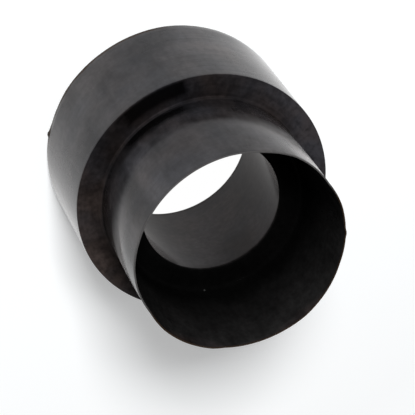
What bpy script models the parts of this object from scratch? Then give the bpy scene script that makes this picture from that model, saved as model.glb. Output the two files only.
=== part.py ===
"""Drain adapter: a stepped rubber sleeve moulded in one piece.

The adapter stands on its large end, with its axis on +Z and its origin in the middle of the
large end's rim. The small end points up and holds a pipe, which stops on the ledge in its socket.
"""
import math

import bmesh
import bpy

# Small end: a tapering socket for a pipe, whose wall thins to a fine lip at its mouth
SMALL_END_DIAMETER = 0.0882
SMALL_END_LENGTH = 0.0506
LIP_WALL = 0.0006
SOCKET_WALL_GAIN = 0.0036
SOCKET_DEPTH = 0.0394

# Ledge that stops the pipe, with the throat through it
LEDGE_WIDTH = 0.0101
LEDGE_FILLET = 0.0020
THROAT_ROUND = 0.0012

# Large end: a thick-walled plug with a bore that widens towards its rim
STEP_WIDTH = 0.0109
LARGE_END_LENGTH = 0.0531
LARGE_END_DRAFT = 0.0010
LARGE_END_WALL = 0.0194

# Edges
LIP_ROUND = 0.00015
STEP_ROUND = 0.0005
ROOT_FILLET = 0.0013
BACK_RIM_ROUND = 0.0006

# Mesh
TURN_STEPS = 96
POINTS_PER_ROUND = 5
MERGE_DISTANCE = 0.000005
SHARP_ANGLE = math.radians(35)

# Rubber, as linear red, green and blue
RUBBER_COLOUR = (0.018, 0.017, 0.018)
RUBBER_ROUGHNESS = 0.48


def clear_scene():
    """Removes what the new file starts with."""
    for thing in list(bpy.data.objects):
        bpy.data.objects.remove(thing, do_unlink=True)


def make_rubber():
    """Black moulded rubber with a soft shine."""
    material = bpy.data.materials.new("black_rubber")
    material.use_nodes = True
    shader = material.node_tree.nodes["Principled BSDF"]
    shader.inputs["Base Color"].default_value = (*RUBBER_COLOUR, 1.0)
    shader.inputs["Roughness"].default_value = RUBBER_ROUGHNESS
    shader.inputs["Metallic"].default_value = 0.0
    material.diffuse_color = (*RUBBER_COLOUR, 1.0)
    return material


def profile_corners():
    """The wall's section as (radius, height, rounding), down the outside and back up the inside."""
    small = SMALL_END_DIAMETER / 2
    large = small + STEP_WIDTH
    back = large + LARGE_END_DRAFT
    mouth = small - LIP_WALL
    foot = mouth - SOCKET_WALL_GAIN
    top = LARGE_END_LENGTH + SMALL_END_LENGTH
    ledge = top - SOCKET_DEPTH
    return [
        (small, top, LIP_ROUND),
        (small, LARGE_END_LENGTH, ROOT_FILLET),
        (large, LARGE_END_LENGTH, STEP_ROUND),
        (back, 0.0, BACK_RIM_ROUND),
        (back - LARGE_END_WALL, 0.0, BACK_RIM_ROUND),
        (foot - LEDGE_WIDTH, ledge, THROAT_ROUND),
        (foot, ledge, LEDGE_FILLET),
        (mouth, top, LIP_ROUND),
    ]


def rounded_corner(before, corner, after, rounding):
    """Points of the arc that touches both sides of a corner."""
    sides = []
    for neighbour in (before, after):
        dr = neighbour[0] - corner[0]
        dz = neighbour[1] - corner[1]
        length = math.hypot(dr, dz)
        sides.append((dr / length, dz / length))
    (ar, az), (br, bz) = sides
    half = math.acos(ar * br + az * bz) / 2
    reach = rounding / math.tan(half)
    middle_r = ar + br
    middle_z = az + bz
    scale = rounding / math.sin(half) / math.hypot(middle_r, middle_z)
    centre = (corner[0] + middle_r * scale, corner[1] + middle_z * scale)
    first = (corner[0] + ar * reach - centre[0], corner[1] + az * reach - centre[1])
    last = (corner[0] + br * reach - centre[0], corner[1] + bz * reach - centre[1])
    start = math.atan2(first[1], first[0])
    turn = math.atan2(last[1], last[0]) - start
    turn = (turn + math.pi) % math.tau - math.pi
    points = []
    for i in range(POINTS_PER_ROUND):
        angle = start + turn * i / (POINTS_PER_ROUND - 1)
        points.append((centre[0] + rounding * math.cos(angle), centre[1] + rounding * math.sin(angle)))
    return points


def rounded_profile():
    """The section with all its corners rounded, as one closed loop of (radius, height)."""
    corners = profile_corners()
    points = []
    for i, (radius, height, rounding) in enumerate(corners):
        before = corners[i - 1]
        after = corners[(i + 1) % len(corners)]
        points += rounded_corner(before[:2], (radius, height), after[:2], rounding)
    return points


def make_adapter_body(material):
    """Turns the section about the Z axis."""
    points = rounded_profile()
    mesh = bpy.data.meshes.new("adapter_body")
    edges = [(i, (i + 1) % len(points)) for i in range(len(points))]
    mesh.from_pydata([(radius, 0.0, height) for radius, height in points], edges, [])
    body = bpy.data.objects.new("adapter_body", mesh)
    bpy.context.collection.objects.link(body)
    turn = body.modifiers.new("turn", "SCREW")
    turn.axis = "Z"
    turn.angle = math.tau
    turn.steps = TURN_STEPS
    turn.render_steps = TURN_STEPS
    turn.use_merge_vertices = False
    turn.merge_threshold = MERGE_DISTANCE
    return finish_mesh(body, material)


def finish_mesh(body, material):
    """Applies the turn, closes the mesh and shades it smooth up to its sharp edges."""
    depsgraph = bpy.context.evaluated_depsgraph_get()
    turned = bpy.data.meshes.new_from_object(body.evaluated_get(depsgraph))
    body.modifiers.clear()
    work = bmesh.new()
    work.from_mesh(turned)
    bmesh.ops.remove_doubles(work, verts=work.verts, dist=MERGE_DISTANCE)
    bmesh.ops.recalc_face_normals(work, faces=work.faces)
    work.to_mesh(turned)
    work.free()
    body.data = turned
    turned.name = "adapter_body"
    turned.materials.append(material)
    turned.shade_smooth()
    turned.set_sharp_from_angle(angle=SHARP_ANGLE)
    return body


clear_scene()
make_adapter_body(make_rubber())
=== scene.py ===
"""Looks of the drain adapter: its fine rubber surface, the stage, the light and the camera."""
import math
from types import SimpleNamespace
from typing import NamedTuple

import bpy
import numpy as np
from mathutils import Matrix, Vector


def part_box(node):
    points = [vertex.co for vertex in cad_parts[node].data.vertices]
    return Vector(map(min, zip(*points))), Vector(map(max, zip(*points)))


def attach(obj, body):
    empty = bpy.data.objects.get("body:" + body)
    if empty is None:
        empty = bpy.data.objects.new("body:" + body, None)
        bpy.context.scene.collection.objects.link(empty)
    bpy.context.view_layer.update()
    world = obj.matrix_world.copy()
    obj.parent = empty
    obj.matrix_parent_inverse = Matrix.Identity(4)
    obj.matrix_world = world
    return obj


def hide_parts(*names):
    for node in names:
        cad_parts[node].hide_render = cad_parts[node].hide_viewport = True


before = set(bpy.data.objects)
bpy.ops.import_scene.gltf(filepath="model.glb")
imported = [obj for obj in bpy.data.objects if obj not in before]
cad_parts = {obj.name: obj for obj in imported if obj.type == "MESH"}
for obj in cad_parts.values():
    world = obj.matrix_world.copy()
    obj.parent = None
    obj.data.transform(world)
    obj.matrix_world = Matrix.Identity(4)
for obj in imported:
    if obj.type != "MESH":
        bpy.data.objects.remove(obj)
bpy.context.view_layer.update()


class Mark(NamedTuple):
    """A mark on the surface: its middle and its reach to each side, in degrees round the axis, and the
    heights over which it comes and goes, as pairs (none, full) in metres."""

    degrees: float
    reach: float
    comes: tuple = ()
    goes: tuple = ()


# Sizes that the frame gives
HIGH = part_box("adapter_body")[1]
TOP = HIGH[2]
BACK_RADIUS = HIGH[0]

# Sizes of the section, in metres
SHOULDER_HEIGHT = 0.0531
SHOULDER_RADIUS = 0.0550
SMALL_RADIUS = 0.0444
MOUTH_RADIUS = 0.0438
FOOT_RADIUS = 0.0399
LEDGE_HEIGHT = 0.0643
THROAT_RADIUS = 0.0298
BORE_RADIUS = 0.0366

# Roundings of its corners
LIP_ROUND = 0.0001
ROOT_FILLET = 0.0013
SHOULDER_ROUND = 0.0002
BACK_RIM_ROUND = 0.0006
LEDGE_FILLET = 0.0020
THROAT_ROUND = 0.0012

# Trimmed edges: degrees round the axis, and how far the edge stands out there, in millimetres
SMALL_RIM_TRIM = [
    (0, -0.7), (14, 0.1), (28, 0.4), (45, 0.5), (52, -0.05), (70, 0.0), (86, 0.15), (99, 0.4),
    (116, -0.05), (134, -0.6), (148, -0.4), (156, -0.45), (170, -0.2), (186, -0.5), (198, 0.1),
    (212, 0.5), (230, -0.2), (248, 0.05), (270, -0.1), (300, -0.3), (315, -0.3), (330, 0.1), (344, -0.1),
]
SMALL_RIM_TICK = [(149.5, 0.0), (152.5, 0.42), (155.5, 0.0)]
BACK_RIM_TRIM = [
    (0, -0.3), (60, -0.4), (120, -0.3), (180, -0.4), (206, -0.25), (225, -0.3), (243, -0.1), (262, -0.25),
    (272, -0.3), (296, -0.1), (305, -0.35), (313, -0.4), (317, 0.0), (322, -0.15), (340, -0.3),
]
BACK_RIM_TICK = [(316.8, 0.0), (318.5, 0.8), (320.0, 0.0)]

# How far down or up its wall each of them fades out
SMALL_TRIM_REACH = 0.020
SMALL_TICK_REACH = 0.004
BACK_TRIM_REACH = 0.004
BACK_TICK_REACH = 0.0018

# What the small rim's trim leaves as it is: the foot of the small end, and the ledge's inner part
UNTRIMMED_FOOT = 0.002
UNTRIMMED_LEDGE = 0.005

# Mesh
TURN_STEPS = 360
RUN_STEP = 0.0014
POINTS_PER_ROUND = 7

# Regions of the surface, by height or radius, as pairs (none, full)
STEP_COMES = (0.0527, 0.0530)
STEP_GOES = (0.0532, 0.0542)
FOOT_GOES = (0.0650, 0.0575)
TUBE_COMES = (0.0532, 0.0650)
HOLE_COMES = (0.0432, 0.0424)
SOCKET_RADII = (0.0440, 0.0436)
SOCKET_HEIGHTS = (0.0628, 0.0640)
# Painted shade: below these heights the socket turns to a blacker black
PAINTED_SOCKET_SHADE = (0.078, 0.066)
LIP_COMES = (TOP - 0.00020, TOP - 0.00005)
LIP_NEAR_SIDE = (0.1, -0.1)
LIP_FAR_SIDE = (-0.1, 0.1)

# Patterns: scale of each noise, and for the stretched ones its scales across and along the wall
CLOUDS = 34.0
HUES = 52.0
SMUDGES = 110.0
FINE = 430.0
GRAIN = 1900.0
SCUFFS = (330.0, 80.0)
RINGS = (14.0, 900.0)

# Share of each pattern in the mottle
CLOUD_SHARE = 0.5
SMUDGE_SHARE = 0.3
SCUFF_SHARE = 0.2

# Ends of each noise that are moved to the ends of a pattern
MOTTLE_NOISE = (0.40, 0.60)
RING_NOISE = (0.30, 0.70)
SOFT_NOISE = (0.35, 0.65)
PATTERN_ENDS = (-0.5, 0.5)

# Bloom: how much of it lies on each wall, with painted light and shade laid into it
WALL_HAZE = 0.34
TUBE_HAZE = 0.42
BORE_HAZE = 0.49
FOOT_HAZE = 0.28
# Painted shade in the socket: the bloom thins from the mouth down to the start height, so it turns blacker
# further in
SOCKET_HAZE_AND_SHADE = (0.03, 0.33)
SOCKET_SHADE_START = 0.070
# On the shoulder the bloom is thicker on the far side, as painted light, and thinner towards the root, as
# painted shade
STEP_HAZE_AND_SHADE = (0.37, 0.95)
STEP_HAZE_SIDES = (-0.8, 0.1)
ROOT_SHADE_RADII = (0.0455, 0.0550)
ROOT_SHADE_FACTORS = (0.62, 1.15)

# How much the patterns change it
MOTTLE_FACTORS = (0.5, 1.5)
SOCKET_MOTTLE_FACTORS = (0.6, 1.4)
RING_FACTORS = (0.88, 1.12)
FINE_FACTORS = (0.76, 1.24)

# Marks in the bloom, some painted highlights, each with its own amount, the amount it adds, or the factor it
# brings
CREASE_RADII = ((0.0450, 0.0453), (0.0456, 0.0453))
# Painted highlight: a pale line along the crease at the root of the small end
PAINTED_CREASE_HIGHLIGHT = 0.44
SECOND_LINE = Mark(252, 18, (0.0543, 0.0546), (0.0549, 0.0546))
SECOND_LINE_HAZE = 0.35
WORN_LINE = Mark(224, 32, goes=(0.0335, 0.0315))
WORN_LINE_ADDS = 0.16
# Painted highlight: a pale streak up the small end, with a darker streak beside it
PAINTED_HIGHLIGHT_STREAK = Mark(289, 8)
DARK_STREAK = Mark(303, 10, comes=(0.068, 0.074))
STREAKS_ADD = 0.22
# Painted highlight: a pale patch low on the small end
PAINTED_HIGHLIGHT_PATCH = Mark(288, 12, (0.058, 0.063), (0.075, 0.066))
PAINTED_HIGHLIGHT_PATCH_HAZE = 1.05
BORE_PATCH = Mark(90, 22, comes=(0.036, 0.048))
BORE_PATCH_FACTOR = 0.4
DIM_STEP = Mark(348, 16)
DIM_STEP_FACTOR = 0.65
PALE_STEP = Mark(319, 12)
PALE_STEP_ADDS = 0.22

# Painted shadow of the small end: a black patch on the shoulder, with one sharp end, and on the foot of the
# small end
RAGGED = 0.3
PAINTED_STEP_SHADOW = Mark(239, 60)
PAINTED_STEP_SHADOW_EDGE = (0.16, 0.45)
PAINTED_STEP_SHADOW_RADII = ((0.0462, 0.0492), (0.0550, 0.0540))
PAINTED_STEP_SHADOW_HAZE = 0.01
SHARP_END = Mark(308, 60)
SHARP_END_EDGE = (0.0, 0.08)
SHARP_END_RAGGED = 0.1
PAINTED_FOOT_SHADOW = Mark(271, 27)
PAINTED_FOOT_SHADOW_EDGE = (0.16, 0.70)
PAINTED_FOOT_SHADOW_HEIGHTS = (0.0620, 0.0585)
PAINTED_FOOT_SHADOW_RAGGED = 0.0016
PAINTED_TUBE_SHADOW_HAZE = 0.02

# Warmth of the bloom, from 0, cool, to 1, warm, and how much it wanders
WALL_WARMTH = (0.28, 0.70)
WALL_WARMTH_SIDES = (-0.9, -0.3)
BORE_WARMTH = 0.40
BROWN_STEP = Mark(346, 42)
BROWN_STEP_EDGE = (0.0, 0.5)
STEP_WARMTH = (0.44, 0.90)
WALL_HUES = 0.45
STEP_HUES = 0.65

# Waxy film over the rubber, and its marks
FILM_WEIGHT = 0.20
FILM_IOR = 1.35
FILM_ROUGHNESS = 0.50
FILM_CLOUDS = (-0.12, 0.12)
STREAKS_ADD_FILM = 0.14
LOW_SHINE = Mark(285, 18, (0.057, 0.061), (0.074, 0.067))
LOW_SHINE_ADDS = 0.40
BRIGHT_SIDE = Mark(196, 15, (0.077, 0.084), (0.1010, 0.0960))
BRIGHT_SIDE_ADDS = 0.60
WALL_RINGS = Mark(216, 40, goes=(0.0535, 0.0525))
WALL_RINGS_ADD = 0.22
# Less film where the foot's shadow is painted
PAINTED_FOOT_SHADOW_FILM_FACTOR = 0.3
SHINY_BAND_HEIGHTS = ((0.067, 0.075), (0.090, 0.079))
SHINY_BAND_SIDE = (-0.85, -0.60)
SHINY_BAND_FILM = 0.95
DULL_SIDE = Mark(354, 36, comes=(0.083, 0.093))
DULL_SIDE_FILM_FACTOR = 0.15
BORE_FILM = (0.70, 0.45)
BORE_FILM_HEIGHTS = (0.0, 0.062)

# Gloss and relief of the rubber
RUBBER_IOR = 1.165
GLOSS = 0.5
DULLER_WALL = Mark(222, 34)
DULLER_WALL_GLOSS = 0.43
DULL_SIDE_GLOSS = 0.04
SOCKET_GLOSS = 0.1
ROUGHNESS = (0.12, 0.20)
RING_ROUGHNESS = 0.04
GRAIN_RELIEF = 0.000006
RING_RELIEF = 0.000005
RELIEF_STRENGTH = 0.6

# Brown shade painted along the large rim's edge, and how strong it is beyond its sector
PAINTED_RIM_SHADE = Mark(300, 60)
PAINTED_RIM_SHADE_EDGE = (0.0, 0.3)
PAINTED_RIM_SHADE_HEIGHTS = (0.0026, 0.0020)
PAINTED_RIM_SHADE_RAGGED = 0.0014
PAINTED_RIM_SHADE_BEYOND = 0.35

# Specks of dust: degrees round the axis, radius, height and size in metres
SPECKS = [
    (55.6, 0.0399, 0.0650, 0.0006),
    (26.3, 0.0434, 0.0999, 0.0006),
]
SPECK_CORE = 0.6

# Colours, in linear red, green and blue
COOL = (0.92, 0.95, 1.12, 1.0)
WARM = (1.22, 0.96, 0.88, 1.0)
NEUTRAL = (1.0, 1.0, 1.0, 1.0)
WHITE = (1.0, 1.0, 1.0, 1.0)
BLACK = (0.0012, 0.0012, 0.0012, 1.0)
# A blacker black for the painted shade low in the socket
SOCKET_SHADE_BLACK = (0.0007, 0.0007, 0.0007, 1.0)
GREY = (0.036, 0.0352, 0.0352, 1.0)
# Brown for the painted shade along the large rim, and for the far side of the cut lip
BROWN = (0.030, 0.019, 0.012, 1.0)
DUST = (0.030, 0.030, 0.030, 1.0)
CUT_RUBBER = (0.075, 0.073, 0.073, 1.0)
FILM_TINT = (1.0, 0.965, 0.955, 1.0)
FLOOR_COLOUR = (0.785, 0.802, 0.812, 1.0)

# Camera: the photograph looks down into the small end, with its top rolled towards the large end
VIEW_ELEVATION = math.radians(57.17)
VIEW_ROLL = math.radians(-213.6)
VIEW_DISTANCE = 0.6750
AIM_ASIDE = 0.00145
AIM_BELOW = 0.0054
LENS = 138.8
SENSOR = 36.0
CLIP_NEAR = 0.01
CLIP_FAR = 20.0

# Stage: a floor that is open under the bore, where a white backdrop shows
RING_STEPS = 128
FLOOR_RADIUS = 4.0
FLOOR_OPENING = 0.046
FLOOR_DROP = 0.0002
FLOOR_LIFT = 0.30
FLOOR_FADE_START = 0.20
FLOOR_FADE_END = 0.90
FLOOR_REFLECTED_LIFT = 0.62
BACKDROP_RADIUS = 0.069
BACKDROP_DROP = 0.004
BACKDROP_LIGHT = 0.45

# Light: a soft key near the camera, and a sky that is dark on the side that the small end faces
KEY_PLACE = (-0.32, -0.98, 1.23)
KEY_AIM = (0.0, 0.0, 0.03)
KEY_SIZE = 0.40
KEY_POWER = 26.0
DARK_SIDE = (0.0, -0.35, 0.94)
DARK_SIDE_EDGE = (0.35, 0.85)
SKY_BRIGHT = 0.45
SKY_DARK = 0.02


def rounded_corner(before, corner, after, rounding):
    """Points of the arc that touches both sides of a corner."""
    corner = np.array(corner)
    side_a = np.array(before) - corner
    side_b = np.array(after) - corner
    side_a = side_a / np.linalg.norm(side_a)
    side_b = side_b / np.linalg.norm(side_b)
    half = math.acos(float(side_a @ side_b)) / 2
    middle = side_a + side_b
    centre = corner + middle / np.linalg.norm(middle) * rounding / math.sin(half)
    reach = rounding / math.tan(half)
    first = corner + side_a * reach - centre
    last = corner + side_b * reach - centre
    start = math.atan2(first[1], first[0])
    turn = math.atan2(last[1], last[0]) - start
    turn = (turn + math.pi) % math.tau - math.pi
    angles = start + turn * np.linspace(0, 1, POINTS_PER_ROUND)
    return centre + rounding * np.stack([np.cos(angles), np.sin(angles)], axis=1)


def section():
    """The wall's section as points (radius, height), down the outside and back up the inside."""
    corners = [
        (SMALL_RADIUS, TOP, LIP_ROUND),
        (SMALL_RADIUS, SHOULDER_HEIGHT, ROOT_FILLET),
        (SHOULDER_RADIUS, SHOULDER_HEIGHT, SHOULDER_ROUND),
        (BACK_RADIUS, 0.0, BACK_RIM_ROUND),
        (BORE_RADIUS, 0.0, BACK_RIM_ROUND),
        (THROAT_RADIUS, LEDGE_HEIGHT, THROAT_ROUND),
        (FOOT_RADIUS, LEDGE_HEIGHT, LEDGE_FILLET),
        (MOUTH_RADIUS, TOP, LIP_ROUND),
    ]
    rounds = []
    for i, (radius, height, rounding) in enumerate(corners):
        before = corners[i - 1][:2]
        after = corners[(i + 1) % len(corners)][:2]
        rounds.append(rounded_corner(before, (radius, height), after, rounding))
    points = []
    for i, arc in enumerate(rounds):
        points.append(arc)
        start = arc[-1]
        end = rounds[(i + 1) % len(rounds)][0]
        count = max(1, math.ceil(np.linalg.norm(end - start) / RUN_STEP))
        steps = np.arange(1, count)[:, None] / count
        points.append(start + (end - start) * steps)
    return np.concatenate(points)


def trim_curve(trim, angles):
    """How far an edge stands out at each angle, in metres, from its list of degrees and millimetres."""
    degrees = [d for d, mm in trim]
    outward = [mm for d, mm in trim]
    return np.interp(np.degrees(angles) % 360, degrees, outward, period=360)[None, :] / 1000


def fade(distance, reach):
    """1 at the edge, falling smoothly to 0 at reach."""
    t = np.clip(1 - distance / reach, 0, 1)
    return t * t * (3 - 2 * t)


def make_adapter():
    """The turned section, with the small end a little out of round and both rims cut by hand."""
    profile = section()
    angles = np.arange(TURN_STEPS) * math.tau / TURN_STEPS
    radius = np.repeat(profile[:, :1], TURN_STEPS, axis=1)
    height = np.repeat(profile[:, 1:], TURN_STEPS, axis=1)
    small = (height > SHOULDER_HEIGHT + UNTRIMMED_FOOT) & (radius > THROAT_RADIUS + UNTRIMMED_LEDGE)
    trim = trim_curve(SMALL_RIM_TRIM, angles) * fade(TOP - height, SMALL_TRIM_REACH)
    trim = trim + trim_curve(SMALL_RIM_TICK, angles) * fade(TOP - height, SMALL_TICK_REACH)
    radius = radius + np.where(small, trim, 0)
    large = (height < SHOULDER_HEIGHT) & (radius > (BORE_RADIUS + BACK_RADIUS) / 2)
    trim = trim_curve(BACK_RIM_TRIM, angles) * fade(height, BACK_TRIM_REACH)
    trim = trim + trim_curve(BACK_RIM_TICK, angles) * fade(height, BACK_TICK_REACH)
    radius = radius + np.where(large, trim, 0)
    vertices = np.stack([radius * np.cos(angles), radius * np.sin(angles), height], axis=2)
    rows = len(profile)
    faces = []
    for i in range(rows):
        this_row = i * TURN_STEPS
        next_row = (i + 1) % rows * TURN_STEPS
        for j in range(TURN_STEPS):
            k = (j + 1) % TURN_STEPS
            faces.append((this_row + j, next_row + j, next_row + k, this_row + k))
    mesh = bpy.data.meshes.new("adapter")
    mesh.from_pydata(vertices.reshape(-1, 3).tolist(), [], faces)
    mesh.update()
    mesh.shade_smooth()
    mesh.materials.append(make_rubber())
    piece = bpy.data.objects.new("adapter", mesh)
    bpy.context.collection.objects.link(piece)
    return piece


class Nodes:
    """Short names for adding nodes to a material's tree and linking them."""

    def __init__(self, tree):
        self.tree = tree
        tree.nodes.clear()

    def add(self, kind, inputs=None, **settings):
        """A node with its settings, and its inputs linked or set."""
        node = self.tree.nodes.new(kind)
        for name, value in settings.items():
            setattr(node, name, value)
        for name, value in (inputs or {}).items():
            self.put(node.inputs[name], value)
        return node

    def put(self, socket, value):
        """Links a socket to another node's output, or sets its value."""
        if isinstance(value, bpy.types.NodeSocket):
            self.tree.links.new(value, socket)
        else:
            socket.default_value = value

    def math(self, operation, a, b=0.0, clamp=False):
        """One operation on two numbers."""
        node = self.add("ShaderNodeMath", operation=operation, use_clamp=clamp)
        self.put(node.inputs[0], a)
        self.put(node.inputs[1], b)
        return node.outputs[0]

    def times(self, product, *factors):
        """The product of two or more numbers."""
        for factor in factors:
            product = self.math("MULTIPLY", product, factor)
        return product

    def plus(self, total, *terms):
        """The sum of two or more numbers."""
        for term in terms:
            total = self.math("ADD", total, term)
        return total

    def span(self, value, old, new):
        """A number moved from one range to another, and kept in the new one."""
        inputs = {"Value": value, "From Min": old[0], "From Max": old[1], "To Min": new[0], "To Max": new[1]}
        return self.add("ShaderNodeMapRange", inputs).outputs["Result"]

    def ramp(self, value, ends):
        """0 at the first end, rising to 1 at the second."""
        return self.span(value, ends, (0.0, 1.0))

    def band(self, value, ends):
        """1 between two pairs of ends, where it comes and where it goes."""
        comes, goes = ends
        return self.times(self.ramp(value, comes), self.ramp(value, goes))

    def vary(self, pattern, ends):
        """A pattern moved from its own ends to others."""
        return self.span(pattern, PATTERN_ENDS, ends)

    def factor(self, mask, full):
        """1 where the mask is 0, and the factor full where it is 1."""
        return self.span(mask, (0.0, 1.0), (1.0, full))

    def put_over(self, mask, under, over):
        """The number over where the mask is 1, and the number under where it is 0."""
        node = self.add("ShaderNodeMix", {"Factor": mask}, data_type="FLOAT")
        self.put(node.inputs["A"], under)
        self.put(node.inputs["B"], over)
        return node.outputs["Result"]

    def blend(self, factor, a, b, how="MIX"):
        """Two colours blended."""
        node = self.add("ShaderNodeMix", data_type="RGBA", blend_type=how)
        self.put(node.inputs["Factor"], factor)
        self.put(node.inputs["A"], a)
        self.put(node.inputs["B"], b)
        return node.outputs["Result"]

    def noise(self, vector, scale, detail=3.0, roughness=0.55):
        """Soft noise about 0.5."""
        inputs = {"Vector": vector, "Scale": scale, "Detail": detail, "Roughness": roughness}
        return self.add("ShaderNodeTexNoise", inputs).outputs["Fac"]


def find_places(n):
    """Where a point of the surface lies: its coordinates, and masks of the adapter's regions."""
    point = n.add("ShaderNodeTexCoord").outputs["Object"]
    x, y, z = n.add("ShaderNodeSeparateXYZ", {"Vector": point}).outputs
    out = n.math("SQRT", n.plus(n.times(x, x), n.times(y, y)))
    at = SimpleNamespace(point=point, x=x, y=y, z=z, out=out)
    at.far_side = n.math("DIVIDE", y, out)
    above_step = n.ramp(z, STEP_GOES)
    at.step = n.math("SUBTRACT", n.ramp(z, STEP_COMES), above_step, clamp=True)
    at.foot = n.times(above_step, n.ramp(z, FOOT_GOES))
    at.tube = n.ramp(z, TUBE_COMES)
    at.crease = n.times(n.band(out, CREASE_RADII), at.step)
    at.socket = n.times(n.ramp(out, SOCKET_RADII), n.ramp(z, SOCKET_HEIGHTS))
    at.bore = n.math("SUBTRACT", n.ramp(out, HOLE_COMES), at.socket, clamp=True)
    at.lip = n.ramp(z, LIP_COMES)
    return at


def toward(n, at, mark):
    """1 at the mark's angle round the axis, falling to 0 at its reach to each side."""
    angle = math.radians(mark.degrees)
    along = n.plus(n.times(at.x, math.cos(angle)), n.times(at.y, math.sin(angle)))
    return n.ramp(n.math("DIVIDE", along, at.out), (math.cos(math.radians(mark.reach)), 1.0))


def find_mark(n, at, mark):
    """1 in the middle of a mark and between its heights, 0 outside it."""
    mask = toward(n, at, mark)
    for ends in (mark.comes, mark.goes):
        if ends:
            mask = n.times(mask, n.ramp(at.z, ends))
    return mask


def stretched_noise(n, at, scales, **detail):
    """Noise that is stretched along or across the walls."""
    across, along = scales
    inputs = {
        "X": n.times(at.x, across),
        "Y": n.times(at.y, across),
        "Z": n.times(n.plus(at.z, at.out), along),
    }
    return n.noise(n.add("ShaderNodeCombineXYZ", inputs).outputs[0], 1.0, **detail)


def find_patterns(n, at):
    """Cloudy, streaky and grainy patterns, all but the grain moved to the same ends."""
    clouds = n.noise(at.point, CLOUDS, detail=4.0)
    smudges = n.noise(at.point, SMUDGES, detail=4.0, roughness=0.6)
    scuffs = stretched_noise(n, at, SCUFFS, roughness=0.6)
    mottle = n.times(clouds, CLOUD_SHARE)
    mottle = n.plus(mottle, n.times(smudges, SMUDGE_SHARE), n.times(scuffs, SCUFF_SHARE))
    hues = n.noise(at.point, HUES, detail=2.0)
    rings = stretched_noise(n, at, RINGS, detail=2.0)
    fine = n.noise(at.point, FINE, roughness=0.6)
    return SimpleNamespace(
        mottle=n.span(mottle, MOTTLE_NOISE, PATTERN_ENDS),
        smudges=n.span(smudges, SOFT_NOISE, PATTERN_ENDS),
        hues=n.span(hues, SOFT_NOISE, PATTERN_ENDS),
        rings=n.span(rings, RING_NOISE, PATTERN_ENDS),
        fine=n.span(fine, SOFT_NOISE, PATTERN_ENDS),
        grain=n.noise(at.point, GRAIN, detail=2.0),
    )


def find_bare_foot(n, at, patterns):
    """1 where shadow is painted on the foot of the small end, with a ragged edge."""
    across = n.ramp(n.plus(toward(n, at, PAINTED_FOOT_SHADOW), n.times(patterns.smudges, RAGGED)), PAINTED_FOOT_SHADOW_EDGE)
    height = n.plus(at.z, n.times(patterns.smudges, PAINTED_FOOT_SHADOW_RAGGED))
    return n.times(across, n.ramp(height, PAINTED_FOOT_SHADOW_HEIGHTS))


def find_streaks(n, at):
    """1 along the painted highlight up the small end, and -1 along the darker streak beside it."""
    return n.math("SUBTRACT", find_mark(n, at, PAINTED_HIGHLIGHT_STREAK), find_mark(n, at, DARK_STREAK))


def find_step_haze_and_shade(n, at, patterns):
    """Bloom on the shoulder, with painted light and shade: thicker on the far side, thinner towards the
    root, with the painted shadow of the small end and the painted highlight of the crease line.
    """
    ragged = n.times(patterns.smudges, RAGGED)
    # Painted shadow of the small end on the shoulder: a black patch with a ragged edge and one sharp end
    bare = n.ramp(n.plus(toward(n, at, PAINTED_STEP_SHADOW), ragged), PAINTED_STEP_SHADOW_EDGE)
    end = n.plus(toward(n, at, SHARP_END), n.times(ragged, SHARP_END_RAGGED))
    bare = n.times(bare, n.ramp(end, SHARP_END_EDGE), n.band(at.out, PAINTED_STEP_SHADOW_RADII))
    # Painted light and shade: lighter on the far side, darker towards the root
    haze = n.span(at.far_side, STEP_HAZE_SIDES, STEP_HAZE_AND_SHADE)
    haze = n.times(haze, n.span(at.out, ROOT_SHADE_RADII, ROOT_SHADE_FACTORS))
    haze = n.times(haze, n.factor(toward(n, at, DIM_STEP), DIM_STEP_FACTOR))
    haze = n.plus(haze, n.times(toward(n, at, PALE_STEP), PALE_STEP_ADDS))
    haze = n.put_over(bare, haze, PAINTED_STEP_SHADOW_HAZE)
    # Painted highlight along the crease line
    return n.put_over(at.crease, haze, PAINTED_CREASE_HIGHLIGHT)


def find_haze(n, at, patterns):
    """How much grey bloom lies on the black, 0 to 1, on every wall, with painted light and shade laid into
    it: highlights on the small end and along the crease, shade on the shoulder, on the foot of the small end
    and low in the socket.
    """
    wall = n.plus(n.times(find_mark(n, at, WORN_LINE), WORN_LINE_ADDS), WALL_HAZE)
    # Painted highlights on the small end: a pale streak with a darker one beside it, and a pale patch low
    # down
    tube = n.plus(n.times(find_streaks(n, at), STREAKS_ADD), TUBE_HAZE)
    tube = n.put_over(find_mark(n, at, PAINTED_HIGHLIGHT_PATCH), tube, PAINTED_HIGHLIGHT_PATCH_HAZE)
    haze = n.put_over(at.tube, wall, tube)
    # Painted shadow of the small end on its own foot
    haze = n.put_over(at.foot, haze, n.put_over(at.bare_foot, FOOT_HAZE, 0.0))
    haze = n.put_over(n.times(at.bare_foot, at.tube), haze, PAINTED_TUBE_SHADOW_HAZE)
    haze = n.put_over(find_mark(n, at, SECOND_LINE), haze, SECOND_LINE_HAZE)
    haze = n.put_over(at.step, haze, find_step_haze_and_shade(n, at, patterns))
    bore = n.put_over(find_mark(n, at, BORE_PATCH), BORE_HAZE, BORE_HAZE * BORE_PATCH_FACTOR)
    haze = n.put_over(at.bore, haze, bore)
    haze = n.times(haze, n.vary(patterns.mottle, MOTTLE_FACTORS), n.vary(patterns.rings, RING_FACTORS))
    # Painted shade: the socket turns blacker further from the mouth
    socket = n.span(at.z, (SOCKET_SHADE_START, TOP), SOCKET_HAZE_AND_SHADE)
    socket = n.times(socket, n.vary(patterns.mottle, SOCKET_MOTTLE_FACTORS))
    haze = n.put_over(at.socket, haze, socket)
    return n.times(haze, n.vary(patterns.fine, FINE_FACTORS))


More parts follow.
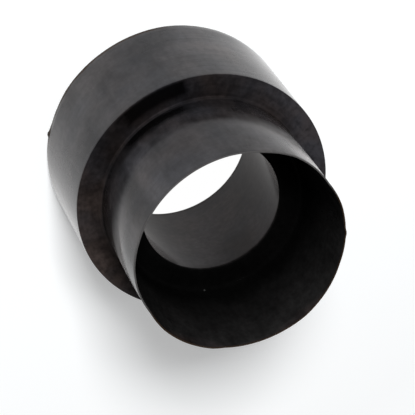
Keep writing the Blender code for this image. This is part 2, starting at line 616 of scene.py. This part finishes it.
def find_tint(n, at, patterns):
    """Slight warm and cool shades of the bloom: browner on the shoulder, neutral in the socket."""
    warmth = n.span(at.far_side, WALL_WARMTH_SIDES, WALL_WARMTH)
    warmth = n.put_over(at.bore, warmth, BORE_WARMTH)
    step = n.span(toward(n, at, BROWN_STEP), BROWN_STEP_EDGE, STEP_WARMTH)
    warmth = n.put_over(at.step, warmth, step)
    hues = n.times(patterns.hues, n.put_over(at.step, WALL_HUES, STEP_HUES))
    warmth = n.math("ADD", warmth, hues, clamp=True)
    return n.blend(at.socket, n.blend(warmth, COOL, WARM), NEUTRAL)


def find_brown_rim(n, at, patterns):
    """1 where brown shade is painted along the large rim's edge, and less beyond its sector."""
    height = n.plus(at.z, n.times(patterns.smudges, PAINTED_RIM_SHADE_RAGGED))
    around = n.span(toward(n, at, PAINTED_RIM_SHADE), PAINTED_RIM_SHADE_EDGE, (PAINTED_RIM_SHADE_BEYOND, 1.0))
    return n.times(n.ramp(height, PAINTED_RIM_SHADE_HEIGHTS), around)


def find_specks(n, at):
    """1 on the few specks of dust in the socket, 0 elsewhere."""
    specks = 0.0
    for degrees, radius, height, size in SPECKS:
        angle = math.radians(degrees)
        spot = (radius * math.cos(angle), radius * math.sin(angle), height)
        far = n.add("ShaderNodeVectorMath", {0: at.point, 1: spot}, operation="DISTANCE").outputs["Value"]
        specks = n.math("MAXIMUM", n.ramp(far, (size, size * SPECK_CORE)), specks)
    return specks


def find_colour(n, at, patterns, tint):
    """Black under grey bloom, blacker low in the socket as painted shade, with brown shade painted along the
    large rim, the cut lip and the dust.
    """
    # Painted shade: a blacker black low in the socket
    socket_shade = n.times(at.socket, n.ramp(at.z, PAINTED_SOCKET_SHADE))
    colour = n.blend(find_haze(n, at, patterns), n.blend(socket_shade, BLACK, SOCKET_SHADE_BLACK), GREY)
    colour = n.blend(1.0, colour, tint, "MULTIPLY")
    # Painted shade along the large rim's edge, in brown
    colour = n.blend(at.brown_rim, colour, BROWN)
    colour = n.blend(n.times(at.lip, n.ramp(at.far_side, LIP_NEAR_SIDE)), colour, CUT_RUBBER)
    colour = n.blend(n.times(at.lip, n.ramp(at.far_side, LIP_FAR_SIDE)), colour, BROWN)
    return n.blend(find_specks(n, at), colour, DUST)


def find_film(n, at, patterns):
    """How thick the waxy film is, 0 to 1: thin where the foot's shadow is painted, none in the socket and on
    the large rim's painted shade.
    """
    streaks = n.times(find_streaks(n, at), STREAKS_ADD_FILM)
    film = n.plus(n.vary(patterns.mottle, FILM_CLOUDS), streaks, FILM_WEIGHT)
    film = n.plus(film, n.times(find_mark(n, at, LOW_SHINE), LOW_SHINE_ADDS))
    film = n.plus(film, n.times(find_mark(n, at, BRIGHT_SIDE), BRIGHT_SIDE_ADDS))
    film = n.plus(film, n.times(patterns.rings, find_mark(n, at, WALL_RINGS), WALL_RINGS_ADD))
    # Less film where the foot's shadow is painted
    film = n.times(film, n.factor(n.times(at.foot, at.bare_foot), PAINTED_FOOT_SHADOW_FILM_FACTOR))
    shiny = n.times(n.band(at.z, SHINY_BAND_HEIGHTS), n.ramp(at.far_side, SHINY_BAND_SIDE))
    film = n.put_over(shiny, film, SHINY_BAND_FILM)
    film = n.times(film, n.factor(at.dull_side, DULL_SIDE_FILM_FACTOR))
    film = n.put_over(at.bore, film, n.span(at.z, BORE_FILM_HEIGHTS, BORE_FILM))
    film = n.put_over(at.socket, film, 0.0)
    return n.put_over(at.brown_rim, film, 0.0)


def find_gloss(n, at):
    """How strongly the rubber itself shines: least in the socket and on the large rim's painted shade."""
    gloss = n.put_over(toward(n, at, DULLER_WALL), GLOSS, DULLER_WALL_GLOSS)
    gloss = n.put_over(at.dull_side, gloss, DULL_SIDE_GLOSS)
    return n.put_over(n.math("MAXIMUM", at.socket, at.brown_rim), gloss, SOCKET_GLOSS)


def make_rubber():
    """Black moulded rubber: a cloudy grey bloom with painted light and shade in it, a waxy film, fine rings
    left by the mould and a grain.
    """
    material = bpy.data.materials.new("black_rubber")
    material.use_nodes = True
    n = Nodes(material.node_tree)
    at = find_places(n)
    patterns = find_patterns(n, at)
    at.bare_foot = find_bare_foot(n, at, patterns)
    at.dull_side = find_mark(n, at, DULL_SIDE)
    at.brown_rim = find_brown_rim(n, at, patterns)
    tint = find_tint(n, at, patterns)
    relief = n.plus(n.times(patterns.grain, GRAIN_RELIEF), n.times(patterns.rings, RING_RELIEF))
    bump = n.add("ShaderNodeBump", {"Strength": RELIEF_STRENGTH, "Distance": 1.0, "Height": relief})
    shader = n.add("ShaderNodeBsdfPrincipled", {
        "Base Color": find_colour(n, at, patterns, tint),
        "Roughness": n.plus(n.vary(patterns.mottle, ROUGHNESS), n.times(patterns.rings, RING_ROUGHNESS)),
        "Normal": bump.outputs[0],
        "IOR": RUBBER_IOR,
        "Specular IOR Level": find_gloss(n, at),
        "Specular Tint": tint,
        "Coat Tint": FILM_TINT,
        "Coat Weight": find_film(n, at, patterns),
        "Coat IOR": FILM_IOR,
        "Coat Roughness": FILM_ROUGHNESS,
        "Coat Normal": bump.outputs[0],
    })
    n.add("ShaderNodeOutputMaterial", {"Surface": shader.outputs[0]})
    return material


def make_ring(name, inner, outer, height, material):
    """A flat ring of the stage, or a disc where inner is 0, at a height."""
    angles = np.arange(RING_STEPS) * math.tau / RING_STEPS
    around = np.stack([np.cos(angles), np.sin(angles)], axis=1)
    level = np.full((RING_STEPS, 1), height)
    vertices = np.hstack([around * outer, level])
    if inner > 0:
        vertices = np.concatenate([vertices, np.hstack([around * inner, level])])
        faces = []
        for j in range(RING_STEPS):
            k = (j + 1) % RING_STEPS
            faces.append((j, k, RING_STEPS + k, RING_STEPS + j))
    else:
        faces = [tuple(range(RING_STEPS))]
    mesh = bpy.data.meshes.new(name)
    mesh.from_pydata(vertices.tolist(), [], faces)
    mesh.materials.append(material)
    ring = bpy.data.objects.new(name, mesh)
    bpy.context.collection.objects.link(ring)
    return ring


def make_floor_material():
    """Pale floor that shows shadows, lifted towards white for the camera and in reflections."""
    material = bpy.data.materials.new("pale_floor")
    material.use_nodes = True
    n = Nodes(material.node_tree)
    rays = n.add("ShaderNodeLightPath").outputs
    point = n.add("ShaderNodeTexCoord").outputs["Object"]
    away = n.add("ShaderNodeVectorMath", {0: point}, operation="LENGTH").outputs["Value"]
    lift = n.span(away, (FLOOR_FADE_START, FLOOR_FADE_END), (FLOOR_LIFT, 1.0))
    seen = n.times(rays["Is Camera Ray"], lift)
    reflected = n.times(rays["Is Glossy Ray"], FLOOR_REFLECTED_LIFT)
    matt = n.add("ShaderNodeBsdfDiffuse", {"Color": FLOOR_COLOUR})
    glow = n.add("ShaderNodeEmission", {"Strength": n.plus(seen, reflected)})
    both = n.add("ShaderNodeAddShader", {0: matt.outputs[0], 1: glow.outputs[0]})
    n.add("ShaderNodeOutputMaterial", {"Surface": both.outputs[0]})
    return material


def make_backdrop_material():
    """White to the camera, and a plain glow up the bore."""
    material = bpy.data.materials.new("white_backdrop")
    material.use_nodes = True
    n = Nodes(material.node_tree)
    seen = n.add("ShaderNodeLightPath").outputs["Is Camera Ray"]
    glow = n.add("ShaderNodeEmission", {"Strength": n.span(seen, (0.0, 1.0), (BACKDROP_LIGHT, 1.0))})
    n.add("ShaderNodeOutputMaterial", {"Surface": glow.outputs[0]})
    return material


def make_world():
    """Soft studio light: dark on the side that the small end faces, and white where the camera sees it."""
    world = bpy.data.worlds.new("studio")
    world.use_nodes = True
    bpy.context.scene.world = world
    n = Nodes(world.node_tree)
    direction = n.add("ShaderNodeTexCoord").outputs["Generated"]
    facing = n.add("ShaderNodeVectorMath", {0: direction, 1: DARK_SIDE}, operation="DOT_PRODUCT")
    level = n.span(facing.outputs["Value"], DARK_SIDE_EDGE, (SKY_BRIGHT, SKY_DARK))
    seen = n.add("ShaderNodeLightPath").outputs["Is Camera Ray"]
    background = n.add("ShaderNodeBackground", {"Color": WHITE, "Strength": n.math("MAXIMUM", level, seen)})
    n.add("ShaderNodeOutputWorld", {"Surface": background.outputs[0]})


def add_key():
    """One square soft lamp, up and to the right in the photograph, so the shadow falls to the lower left."""
    light = bpy.data.lights.new("key", "AREA")
    light.shape = "SQUARE"
    light.size = KEY_SIZE
    light.energy = KEY_POWER
    lamp = bpy.data.objects.new("key", light)
    lamp.location = KEY_PLACE
    lamp.rotation_euler = (Vector(KEY_AIM) - Vector(KEY_PLACE)).to_track_quat("-Z", "Y").to_euler()
    lamp.visible_glossy = False
    bpy.context.collection.objects.link(lamp)


def add_camera():
    """The photograph's camera, from its elevation, roll, distance and lens."""
    back = Vector((0, -math.cos(VIEW_ELEVATION), math.sin(VIEW_ELEVATION)))
    level_right = Vector((1, 0, 0))
    level_up = back.cross(level_right)
    right = level_right * math.cos(VIEW_ROLL) + level_up * math.sin(VIEW_ROLL)
    up = level_up * math.cos(VIEW_ROLL) - level_right * math.sin(VIEW_ROLL)
    centre = Vector((0, 0, SHOULDER_HEIGHT))
    place = centre + back * VIEW_DISTANCE
    aim = centre + right * AIM_ASIDE - up * AIM_BELOW
    away = (place - aim).normalized()
    side = up.cross(away).normalized()
    top = away.cross(side)
    camera_data = bpy.data.cameras.new("camera")
    camera_data.lens = LENS
    camera_data.sensor_width = SENSOR
    camera_data.clip_start = CLIP_NEAR
    camera_data.clip_end = CLIP_FAR
    camera = bpy.data.objects.new("camera", camera_data)
    bpy.context.collection.objects.link(camera)
    camera.matrix_world = Matrix((
        (side.x, top.x, away.x, place.x),
        (side.y, top.y, away.y, place.y),
        (side.z, top.z, away.z, place.z),
        (0, 0, 0, 1),
    ))
    bpy.context.scene.camera = camera


adapter = make_adapter()
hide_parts("adapter_body")
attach(adapter, "root")
make_ring("floor", FLOOR_OPENING, FLOOR_RADIUS, -FLOOR_DROP, make_floor_material())
make_ring("backdrop", 0.0, BACKDROP_RADIUS, -BACKDROP_DROP, make_backdrop_material())
make_world()
add_key()
add_camera()
bpy.context.scene.view_settings.view_transform = "Standard"
